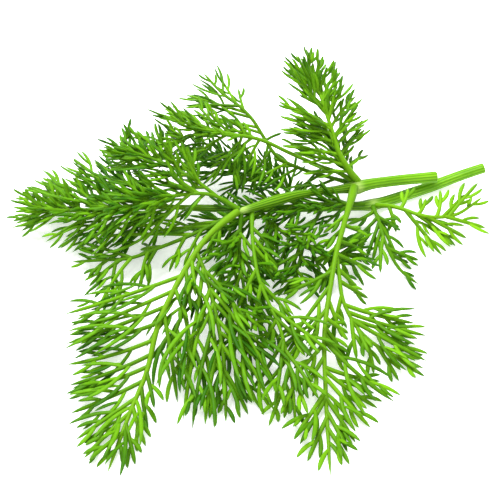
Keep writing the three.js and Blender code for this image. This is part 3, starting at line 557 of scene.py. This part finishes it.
trials = [                            # a trial lifts the tip and turns the line
    (0, 0), (1, 0), (-1, 0), (0, 8), (0, -8), (2, 0), (-2, 0), (1.5, 8), (1.5, -8), (-1.5, 8), (-1.5, -8),
    (3, 0), (-3, 0), (3, 12), (3, -12), (-3, 12), (-3, -12), (4.5, 0), (-4.5, 0), (6, 0), (6, 12), (6, -12),
    (-6, 0),
]


def draw(key, place):
    """A number from 0 to 1 that is always the same for the same two whole numbers."""
    wave = math.sin(key * 12.9898 + place * 78.233) * 43758.5453
    return wave - math.floor(wave)


def nearest_whole(value):
    return math.floor(value + 0.5)


class Route:
    """A smooth line through a leaf stalk's points. at() gives the point and the growth at a share of it."""

    def __init__(self, knots):
        self.points = smooth_line(knots, route_steps)
        self.ways = np.linalg.norm(np.diff(self.points, axis=0), axis=1)
        self.length = self.ways.sum()

    def at(self, share):
        left = share * self.length
        i = 0
        while i < len(self.ways) - 1 and left > self.ways[i]:
            left -= self.ways[i]
            i += 1
        growth = unit(self.points[i + 1] - self.points[i])
        return self.points[i] + growth * left, growth


class Bow:
    """A bow from its start to its tip, drawn towards a control point."""

    def __init__(self, start, control, tip):
        self.start, self.control, self.tip = start, control, tip
        middle = self.at(0.5)[0]
        self.length = np.linalg.norm(start - middle) + np.linalg.norm(middle - tip)

    def at(self, share):
        first = self.start + (self.control - self.start) * share
        second = self.control + (self.tip - self.control) * share
        return first + (second - first) * share, unit(second - first)


class Placed:
    """The straight pieces that stand for all stems, stalks and threads so far."""

    def __init__(self, most):
        self.start, self.end, self.middle = np.zeros((most, 3)), np.zeros((most, 3)), np.zeros((most, 3))
        self.reach, self.radius, self.owner = np.zeros(most), np.zeros(most), np.zeros(most, int)
        self.count = 0

    def add(self, owner, lengths, radii):
        for (start, end), radius in zip(lengths, radii):
            i = self.count
            self.start[i], self.end[i], self.middle[i] = start, end, (start + end) / 2
            self.reach[i], self.radius[i], self.owner[i] = np.linalg.norm(end - start) / 2, radius, owner
            self.count += 1

    def leaves_room(self, owner, lengths, radius, root):
        """Whether a line keeps its gap from all that is placed. Its root may lie close to its own leaf."""
        n = self.count
        own = self.owner[:n] == owner
        gap = radius + self.radius[:n] + np.where(own, gap_within_leaf, gap_between_leaves)
        for i, (start, end) in enumerate(lengths):
            reach = np.linalg.norm(end - start) / 2
            free = start + (end - start) * min(0.9, root / (2 * reach)) if i == 0 else start
            away = np.linalg.norm(self.middle[:n] - (start + end) / 2, axis=1)
            near = np.flatnonzero(away <= reach + self.reach[:n] + gap)
            starts = np.where(own[near, None], free, start)
            if (least_distances(starts, end, self.start[near], self.end[near]) < gap[near]).any():
                return False
        return True


def least_distances(start1, end1, start2, end2):
    """The least distance between straight pieces, pair by pair."""
    def dot(p, q):
        return np.einsum("ij,ij->i", p, q)

    way1, way2, between_starts = end1 - start1, end2 - start2, start1 - start2
    a, b, c = dot(way1, way1), dot(way1, way2), dot(way1, between_starts)
    e, f = dot(way2, way2), dot(way2, between_starts)
    spread = a * e - b * b
    safe = np.where(spread > 1e-9, spread, 1)
    guess = np.where(spread > 1e-9, np.clip((b * f - c * e) / safe, 0, 1), 0)
    t = np.clip((b * guess + f) / e, 0, 1)
    s = np.clip((b * t - c) / a, 0, 1)
    return np.linalg.norm(between_starts + way1 * s[:, None] - way2 * t[:, None], axis=1)


def lengths_of(line, count):
    points = [line.at(i / count)[0] for i in range(count + 1)]
    return list(zip(points, points[1:]))


def first_clear(owner, radius, root, count, bend):
    """The first clear bow of all trials, or nothing."""
    for lift, turn in trials:
        start, control, tip = bend(turn)
        control = control + lean * lift * middle_lift
        tip = tip + lean * lift
        control[2] = max(control[2], radius + table_gap)
        tip[2] = max(tip[2], radius + table_gap)
        bow = Bow(start, control, tip)
        lengths = lengths_of(bow, count)
        if placed.leaves_room(owner, lengths, radius, root):
            placed.add(owner, lengths, [radius] * count)
            return bow
    return None


def grow_leaflet(owner, line, share, length, degrees, tip_height, pairs=None, clearance=stalk_clearance):
    """A leaflet that leaves a leaf stalk's line, or nothing where it finds no room."""
    point, growth = line.at(share)
    ahead = unit(growth * (1, 1, 0))
    left = np.array([-ahead[1], ahead[0], 0])
    fall = tip_height - point[2]
    across = math.sqrt(max(length**2 - fall**2, least_across**2))
    bowed = np.clip(bow_share * (abs(degrees) - straight_angle), -leaflet_bow, leaflet_bow) * np.sign(degrees)

    def outward(degrees_out, reach, height):
        out = math.radians(degrees_out)
        there = point + ahead * math.cos(out) * reach + left * math.sin(out) * reach
        there[2] = height
        return there

    def bend(turn):
        control = outward(degrees + turn - bowed, across * 0.5, point[2] + fall * early_fall)
        return point, control, outward(degrees + turn, across, tip_height)

    bow = first_clear(owner, clearance, leaflet_root, leaflet_pieces, bend)
    if bow is None:
        return None
    if pairs is None:
        fitting = max(1, nearest_whole(forked_share * bow.length / pair_spacing))
        pairs = 0 if bow.length < short_leaflet else fitting
    forks = [bare_share + forked_share * (i + 0.5) / pairs for i in range(pairs)]
    return {"line": bow, "forks": forks, "threads": []}


def grow_leaflets(stalk, rows, clearance=stalk_clearance):
    """The leaflets of the rows, without those that find no room."""
    grown = [grow_leaflet(stalk["owner"], stalk["line"], *row, clearance=clearance) for row in rows]
    return [leaflet for leaflet in grown if leaflet]


def grow_thread(owner, line, share, side, length, roll, clearance=thread_clearance):
    """A thread that leaves a line to one side, or nothing where it finds no room."""
    point, growth = line.at(share)
    flat = unit(np.cross(up, growth))
    out = flat * side * math.cos(roll) + np.cross(growth, flat) * math.sin(roll)
    angle = thread_angle + (thread_tip_angle - thread_angle) * share

    def outward(degrees_out, reach):
        turned = math.radians(degrees_out)
        return point + growth * math.cos(turned) * reach + out * math.sin(turned) * reach

    def bend(turn):
        control = outward(angle + turn, length * 0.5)
        return point, control, outward(angle * (1 + thread_bow) / 2 + turn, length)

    bow = first_clear(owner, clearance, thread_root, thread_pieces, bend)
    return bow and {"line": bow, "side": side}


def grow_threads(owner, stalk, key, most_length):
    """A pair of threads at each fork of a stalk, shorter towards its tip."""
    line = stalk["line"]
    longest = min(most_length, thread_share * line.length)
    for i, share in enumerate(stalk["forks"]):
        for side in (-1, 1):
            fitting = min(longest, thread_room * (1 - share) * line.length)
            size = fitting * (thread_least + thread_spread * draw(key + i, side + 2))
            size = max(thread_shortest, size)
            roll = math.radians((draw(key + i, side + 6) - thread_roll_down) * thread_roll)
            root = share + (side if i % 2 else -side) * thread_stagger / line.length
            thread = grow_thread(owner, line, root, side, size, roll)
            if thread:
                stalk["threads"].append(thread)


def upright_rows(stalk, key, spacing):
    """Short leaflets that rise from a leaf stalk, on either side by turns, each with one pair of threads."""
    line, first = stalk["line"], stalk["plan"]["leaflets"][0][0]
    rows = []
    count = max(0, nearest_whole((upright_end - first) * line.length / spacing))
    for i in range(count):
        share = first + (upright_end - first) * (i + 0.5) / count
        length = upright_length * (1.2 - 0.5 * share) * (0.85 + 0.3 * draw(key + i, 11))
        degrees = (1 if i % 2 else -1) * upright_angle * (0.5 + draw(key + i, 12))
        lift = upright_lift * (0.6 + 0.8 * draw(key + i, 13)) * (1.2 - 0.6 * share)
        rows.append((share, length, degrees, line.at(share)[0][2] + lift, 1))
    return rows


def grow_raised_threads(owner, stalk, key):
    """Threads that rise between the pairs of a leaflet, and before the first."""
    line, pairs = stalk["line"], len(stalk["forks"])
    for i in range(pairs + 1 if pairs else 0):
        share = bare_share + forked_share * i / pairs
        side = 1 if draw(key + i, 21) > 0.5 else -1
        size = np.clip(raised_share * (1 - share) * line.length, raised_shortest, thread_longest)
        roll = math.radians(raised_roll[0] + (raised_roll[1] - raised_roll[0]) * draw(key + i, 22))
        thread = grow_thread(owner, line, share, side, size, roll, fine_clearance)
        if thread:
            stalk["threads"].append(thread)


# The thick parts choose first: the stems and leaf stalks, then the leaflets, and then the threads.
placed = Placed(most_pieces)
for rows in map(np.array, stem_rows.values()):
    thicker = np.maximum(rows[1:, 3], rows[:-1, 3])
    placed.add(-1, list(zip(rows[:-1, :3], rows[1:, :3])), thicker)

leaves = {name: [] for name in leaf_plans}
for owner, (name, plans) in enumerate(leaf_plans.items()):
    for place, plan in enumerate(plans):
        line = Route(plan["route"])
        pairs = nearest_whole(end_forked_share * line.length / pair_spacing)
        count = nearest_whole(line.length / stalk_step)
        radii = [plan["radius"] + (stalk_clearance - plan["radius"]) * (i / count) ** 2 for i in range(count)]
        placed.add(owner, lengths_of(line, count), radii)
        leaves[name].append({
            "owner": owner, "key": 1000 * owner + 500 * place, "plan": plan, "fine": plans[0]["fine"],
            "line": line, "threads": [],
            "forks": [end_bare_share + end_forked_share * (i + 0.5) / pairs for i in range(pairs)],
        })
all_stalks = sum(leaves.values(), [])
dense_stalks = [stalk for stalk in all_stalks if stalk["fine"]]
for stalk in all_stalks:
    stalk["leaflets"] = grow_leaflets(stalk, stalk["plan"]["leaflets"])
for stalk in dense_stalks:
    stalk["leaflets"] += grow_leaflets(stalk, upright_rows(stalk, stalk["key"], upright_spacing))
for stalk in all_stalks:
    for i, leaflet in enumerate(stalk["leaflets"]):
        grow_threads(stalk["owner"], leaflet, stalk["key"] + 10 * i, thread_longest)
    grow_threads(stalk["owner"], stalk, stalk["key"] + 490, end_thread_longest)

# Finer leaflets in between, and threads that rise from all leaflets, on the leaves that aren't open.
for stalk in dense_stalks:
    owner, key = stalk["owner"], stalk["key"] + 250
    fine = grow_leaflets(stalk, upright_rows(stalk, key, stalk["fine"]), fine_clearance)
    for i, leaflet in enumerate(fine):
        grow_threads(owner, leaflet, key + 10 * i, thread_longest)
    stalk["leaflets"] += fine
    for i, leaflet in enumerate(stalk["leaflets"]):
        grow_raised_threads(owner, leaflet, key + 10 * i)

# How wide a line is along its way: shares of the way, and shares of the widest there.
leaf_stalk_half = ([0, 0.9, 0.97, 1], [1, 1, 0.8, 0.1])
leaflet_half = ([0, 0.5, 0.85, 0.95, 1], [1, 0.9, 0.9, 0.5, 0.06])
thread_half = ([0, 0.3, 0.6, 0.82, 0.94, 1], [0.75, 0.92, 1, 0.84, 0.46, 0.05])
sheath_widening = 0.45        # of a leaf stalk's radius, where it wraps its stem
sheath_length = 4
root_depth = 1.6              # of a leaf stalk in its stem
thread_shares = [0, 0.15, 0.3, 0.45, 0.6, 0.75, 0.87, 0.95, 1]
fork_places = {2: -1}         # which of these shares bears a fork, and its side: 1 is outwards, -1 inwards
fork_share = 0.8              # of the way from the fork to the thread's tip
fork_slimness = 0.85          # of its thread's width
shortest_forked = 11          # a shorter thread doesn't fork
stalk_ring_spacing = 2.5
stalk_tip_half = 0.6
leaflet_rings = 12
thin_stalk = 0.5              # the radius of a leaf stalk as green as its threads
thick_stalk = 0.85            # and how much thicker one is that has the green of a stalk


class Lines:
    """The middle lines of one leaf's stalks and threads, with what the sweep and the skin need at each point.

    half is half the width, young 1 for the green of a thick leaf stalk, along 1 at a tip, stalk 1 for a round
    line and 0 for a flat one, fork the length of the fork that leaves it there, side the side that the fork
    leaves to, and pale how light the green is.
    """

    def __init__(self):
        self.points, self.edges = [], []
        self.values = {key: [] for key in ("half", "young", "along", "stalk", "fork", "side", "pale")}

    def add(self, points, **values):
        first = len(self.points)
        self.points += list(points)
        self.edges += [(first + i, first + i + 1) for i in range(len(points) - 1)]
        for key, kept in self.values.items():
            kept += list(np.broadcast_to(values.get(key, 0), len(points)))


def add_leaf_stalk(lines, stalk, leaves_stem):
    line, plan = stalk["line"], stalk["plan"]
    shares = np.linspace(0, 1, nearest_whole(line.length / stalk_ring_spacing) + 1)
    points = [line.at(share)[0] for share in shares]
    half = plan["radius"] + (stalk_tip_half - plan["radius"]) * shares**2
    half = half * np.interp(shares, *leaf_stalk_half)
    wide, long = plan.get("sheath", (sheath_widening, sheath_length))
    half = half * (1 + leaves_stem * wide * np.exp(-((shares * line.length / long) ** 2)))
    root = points[0] - line.at(0)[1] * root_depth * leaves_stem
    shares, half = np.insert(shares, 0, 0), np.insert(half, 0, half[0])
    young = np.clip((plan["radius"] - thin_stalk) / thick_stalk, 0, 1) * (1 - 0.3 * shares)
    lines.add([root - line.at(0)[1] * 0.1, *points], half=half, young=young, along=0, stalk=1)


def add_leaflet(lines, leaflet, blade):
    shares = np.linspace(0, 1, leaflet_rings)
    points = [leaflet["line"].at(share)[0] for share in shares]
    half = blade * np.interp(shares, *leaflet_half)
    lines.add(points, half=half, young=0.35 - 0.3 * shares, along=shares**2, stalk=1)


def add_thread(lines, thread, blade):
    line = thread["line"]
    shares = np.array(thread_shares)
    fork, side = np.zeros(len(shares)), np.zeros(len(shares))
    if line.length > shortest_forked:
        for place, outer in fork_places.items():
            fork[place] = (1 - shares[place]) * line.length * fork_share * millimetre
            side[place] = outer * thread["side"]
    points = [line.at(share)[0] for share in shares]
    half = blade * np.interp(shares, *thread_half)
    lines.add(points, half=half, young=0.3 * (1 - shares) ** 2, along=shares, fork=fork, side=side)


def feather_tree():
    """Forks the threads, and sweeps round stalks and lance-shaped, flattened threads along all lines."""
    tree = bpy.data.node_groups.new("feather", "GeometryNodeTree")
    wanted = [
        ("Lines", "NodeSocketGeometry", None), ("Fork angle", "NodeSocketFloat", 34.0),
        ("Fork half width", "NodeSocketFloat", 0.5), ("Fork bow", "NodeSocketFloat", 0.09),
        ("Thread flatness", "NodeSocketFloat", 0.55), ("Table height", "NodeSocketFloat", 0.00003),
        ("Seed", "NodeSocketInt", 7), ("Finish", "NodeSocketMaterial", None),
    ]
    for name, kind, value in wanted:
        socket = tree.interface.new_socket(name, in_out="INPUT", socket_type=kind)
        if value is not None:
            socket.default_value = value
    tree.interface.new_socket("Leaf", in_out="OUTPUT", socket_type="NodeSocketGeometry")
    given = add_node(tree, "NodeGroupInput").outputs

    def new(kind, inputs=None, **properties):
        return result(add_node(tree, kind, inputs, **properties))

    def named(name):
        return new("GeometryNodeInputNamedAttribute", {"Name": name}, data_type="FLOAT")

    def store(geometry, name, value, domain="POINT"):
        inputs = {"Geometry": geometry, "Name": name, "Value": value}
        return new("GeometryNodeStoreNamedAttribute", inputs, data_type="FLOAT", domain=domain)

    def chance(low, high, seed_step):
        seed = calculate(tree, "ADD", given["Seed"], seed_step)
        return new("FunctionNodeRandomValue", {"Min": low, "Max": high, "Seed": seed}, data_type="FLOAT")

    def join(first, second):
        both = add_node(tree, "GeometryNodeJoinGeometry")
        tree.links.new(first, both.inputs[0])
        tree.links.new(second, both.inputs[0])
        return result(both)

    lines = new("GeometryNodeMeshToCurve", {"Mesh": given["Lines"]})

    # One fork, one unit long, along X.
    bend = new("ShaderNodeCombineXYZ", {"X": 0.5, "Y": given["Fork bow"]})
    fork = new("GeometryNodeCurveQuadraticBezier", {
        "Resolution": 5, "Start": (0, 0, 0), "Middle": bend, "End": (1, 0, 0),
    })
    along = new("GeometryNodeSplineParameter")
    lance = add_node(tree, "ShaderNodeFloatCurve", {"Value": along})
    curve = lance.mapping.curves[0]
    curve.points[0].location, curve.points[-1].location = (0, 0.5), (1, 0.05)
    for share, width in ((0.3, 0.9), (0.5, 1), (0.75, 0.8)):
        curve.points.new(share, width)
    lance.mapping.update()
    widest = calculate(tree, "MULTIPLY", given["Fork half width"], millimetre)
    half = calculate(tree, "MULTIPLY", result(lance), widest)
    fork = store(store(fork, "half", half), "along", along)

    # Each fork leaves its thread to its side, a little turned out of the leaf's plane.
    tangent = new("GeometryNodeInputTangent")
    facing = new("FunctionNodeAxesToRotation", {
        "Primary Axis": tangent, "Secondary Axis": (0, 0, 1),
    }, primary_axis="X", secondary_axis="Z")
    roll = new("FunctionNodeAxisAngleToRotation", {"Axis": (1, 0, 0), "Angle": chance(-0.6, 0.6, 1)})
    side = named("side")
    usual = calculate(tree, "RADIANS", given["Fork angle"])
    angle = calculate(tree, "MULTIPLY", usual, chance(0.75, 1.25, 2))
    turn = new("FunctionNodeAxisAngleToRotation", {
        "Axis": (0, 0, 1), "Angle": calculate(tree, "MULTIPLY", angle, side),
    })
    for more in (roll, turn):
        facing = new("FunctionNodeRotateRotation", {
            "Rotation": facing, "Rotate By": more,
        }, rotation_space="LOCAL")
    size = calculate(tree, "MULTIPLY", named("fork"), chance(0.75, 1.15, 3))
    sized = new("ShaderNodeCombineXYZ", {
        "X": size, "Y": calculate(tree, "MULTIPLY", size, side), "Z": size,
    })
    bears = calculate(tree, "GREATER_THAN", named("fork"), 0.0)
    forks = new("GeometryNodeInstanceOnPoints", {
        "Points": lines, "Selection": bears, "Instance": fork, "Rotation": facing, "Scale": sized,
    })
    forks = new("GeometryNodeRealizeInstances", {"Geometry": forks})
    forks = store(store(forks, "young", 0.0), "stalk", 0.0)

    # A round tube follows the stalks, and a flat oval one the threads.
    shaded = store(join(forks, lines), "shade", chance(0.0, 1.0, 4), "CURVE")
    level = new("GeometryNodeSetCurveNormal", {"Curve": shaded}, mode="Z_UP")
    split = add_node(tree, "GeometryNodeSeparateGeometry", {
        "Geometry": level, "Selection": calculate(tree, "GREATER_THAN", named("stalk"), 0.5),
    }, domain="POINT").outputs
    circle = new("GeometryNodeCurvePrimitiveCircle", {"Resolution": 8, "Radius": 1.0})
    flat = new("ShaderNodeCombineXYZ", {"X": 1.0, "Y": given["Thread flatness"], "Z": 1.0})
    oval = new("GeometryNodeTransform", {"Geometry": circle, "Scale": flat})
    tubes = [
        new("GeometryNodeCurveToMesh", {
            "Curve": path, "Profile Curve": profile, "Scale": named("half"), "Fill Caps": True,
        })
        for path, profile in ((split["Selection"], circle), (split["Inverted"], oval))
    ]
    smooth = new("GeometryNodeSetShadeSmooth", {"Geometry": join(*tubes)})
    place = add_node(tree, "ShaderNodeSeparateXYZ", {"Vector": new("GeometryNodeInputPosition")}).outputs
    above = new("ShaderNodeCombineXYZ", {
        "X": place["X"], "Y": place["Y"], "Z": calculate(tree, "MAXIMUM", place["Z"], given["Table height"]),
    })
    resting = new("GeometryNodeSetPosition", {"Geometry": smooth, "Position": above})
    whole = new("GeometryNodeRealizeInstances", {"Geometry": resting})
    finished = new("GeometryNodeSetMaterial", {"Geometry": whole, "Material": given["Finish"]})
    leaf = add_node(tree, "NodeGroupOutput")
    tree.links.new(finished, leaf.inputs["Leaf"])
    return tree


def leaf_skin():
    skin, shader = plant_skin("leaf_skin", roughness=0.42, shine=0.06, glow=0.1)
    tree = skin.node_tree
    clouds = between(tree, mottle(tree, 300), 0.3, 0.7)
    shade = read_attribute(tree, "shade")
    mixed = calculate(tree, "MULTIPLY_ADD", shade, 0.6, calculate(tree, "MULTIPLY", clouds, 0.4))
    deep = blend_colours(tree, mixed, (0.014, 0.079, 0.0007), (0.041, 0.18, 0.0012))
    light = blend_colours(tree, mixed, (0.12, 0.32, 0.0036), (0.22, 0.5, 0.0096))
    swing = calculate(tree, "MULTIPLY_ADD", shade, 0.5, -0.25)
    lightness = between(tree, calculate(tree, "ADD", read_attribute(tree, "pale"), swing), 0, 1)
    thread = blend_colours(tree, lightness, deep, light)
    stalk = blend_colours(tree, read_attribute(tree, "young"), thread, (0.14, 0.3, 0.008))
    tip = calculate(tree, "MULTIPLY", between(tree, read_attribute(tree, "along"), 0.75, 1.0), 0.55)
    wire_skin(tree, shader, blend_colours(tree, tip, stalk, (0.048, 0.13, 0.012)), mottle(tree, 1500), 0.12)
    return skin


feather = feather_tree()
leaf_finish = leaf_skin()
for number, (name, stalks) in enumerate(leaves.items()):
    lines = Lines()
    plan = stalks[0]["plan"]
    blade = plan["blade"]
    for place, stalk in enumerate(stalks):
        add_leaf_stalk(lines, stalk, leaves_stem=place == 0)
        for leaflet in stalk["leaflets"]:
            add_leaflet(lines, leaflet, blade)
        for thread in sum((leaflet["threads"] for leaflet in stalk["leaflets"]), stalk["threads"]):
            add_thread(lines, thread, blade)
    away = np.linalg.norm(np.array(lines.points) - stalks[0]["line"].points[0], axis=1)
    lines.values["pale"] = np.interp(away / away.max(), (0, 1), plan["pale"])
    leaf = mesh_object(name + "_fine", lines.points, edges=lines.edges, attributes={
        key: np.array(values) * (millimetre if key == "half" else 1) for key, values in lines.values.items()
    })
    modifier = leaf.modifiers.new("feather", "NODES")
    modifier.node_group = feather
    settings = {"Fork half width": blade * fork_slimness, "Seed": 10 * number, "Finish": leaf_finish}
    for socket in feather.interface.items_tree:
        if socket.name in settings:
            modifier[socket.identifier] = settings[socket.name]
    evaluated = leaf.evaluated_get(bpy.context.evaluated_depsgraph_get())
    swept = bpy.data.meshes.new_from_object(evaluated)
    leaf.modifiers.clear()
    leaf.data = swept
    leaf.data.name = leaf.name
    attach(leaf, "root")
    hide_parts(name)

# ---------------------------------------------------------------- the table, the light and the camera
# The bunch lies on a plain white table, which glows a little: painted light that makes the shadows under the
# bunch paler and lights the leaves a little from below. One wide soft studio light hangs over it and a
# fainter one stands in front.

table_half = 3
table_corners = [(x * table_half, y * table_half, 0) for x, y in ((-1, -1), (1, -1), (1, 1), (-1, 1))]
table_mesh = bpy.data.meshes.new("table")
table_mesh.from_pydata(table_corners, [], [(0, 1, 2, 3)])
table = bpy.data.objects.new("table", table_mesh)
bpy.context.collection.objects.link(table)
table_paint = bpy.data.materials.new("table_paint")
table_paint.use_nodes = True
paint = table_paint.node_tree.nodes["Principled BSDF"].inputs
paint["Base Color"].default_value = (0.93, 0.93, 0.93, 1)
paint["Roughness"].default_value = 0.8
# The glow is painted light: it lifts the shadows on the table and lights the leaves from below.
paint["Emission Color"].default_value = (1, 1, 1, 1)
paint["Emission Strength"].default_value = 0.45
paint["Specular IOR Level"].default_value = 0.1
table_mesh.materials.append(table_paint)

scene = bpy.context.scene
room = bpy.data.worlds.new("room")
room.use_nodes = True
room.node_tree.nodes["Background"].inputs["Color"].default_value = (1, 1, 1, 1)
room.node_tree.nodes["Background"].inputs["Strength"].default_value = 0.7
scene.world = room
scene.view_settings.view_transform = "Standard"


def soft_light(name, place, size, power):
    lamp = bpy.data.lights.new(name, "AREA")
    lamp.size = size
    lamp.energy = power
    light = bpy.data.objects.new(name, lamp)
    bpy.context.collection.objects.link(light)
    light.location = place
    light.rotation_mode = "QUATERNION"
    light.rotation_quaternion = (-light.location).to_track_quat("-Z", "Y")


soft_light("overhead", (-0.25, 0.35, 0.9), 0.6, 19.0)
soft_light("front", (0.5, -0.7, 0.8), 0.8, 4.0)

looked_at = in_metres([[0, 0, 8]])[0]
camera_elevation = math.radians(50)
camera_distance = 0.34
camera_back = np.array([0, -math.cos(camera_elevation), math.sin(camera_elevation)])
camera = bpy.data.objects.new("camera", bpy.data.cameras.new("camera"))
bpy.context.collection.objects.link(camera)
camera.data.lens = 61.2
camera.data.sensor_width = 36
camera.location = looked_at + camera_back * camera_distance
camera.rotation_euler = (math.pi / 2 - camera_elevation, 0, 0)
scene.camera = camera
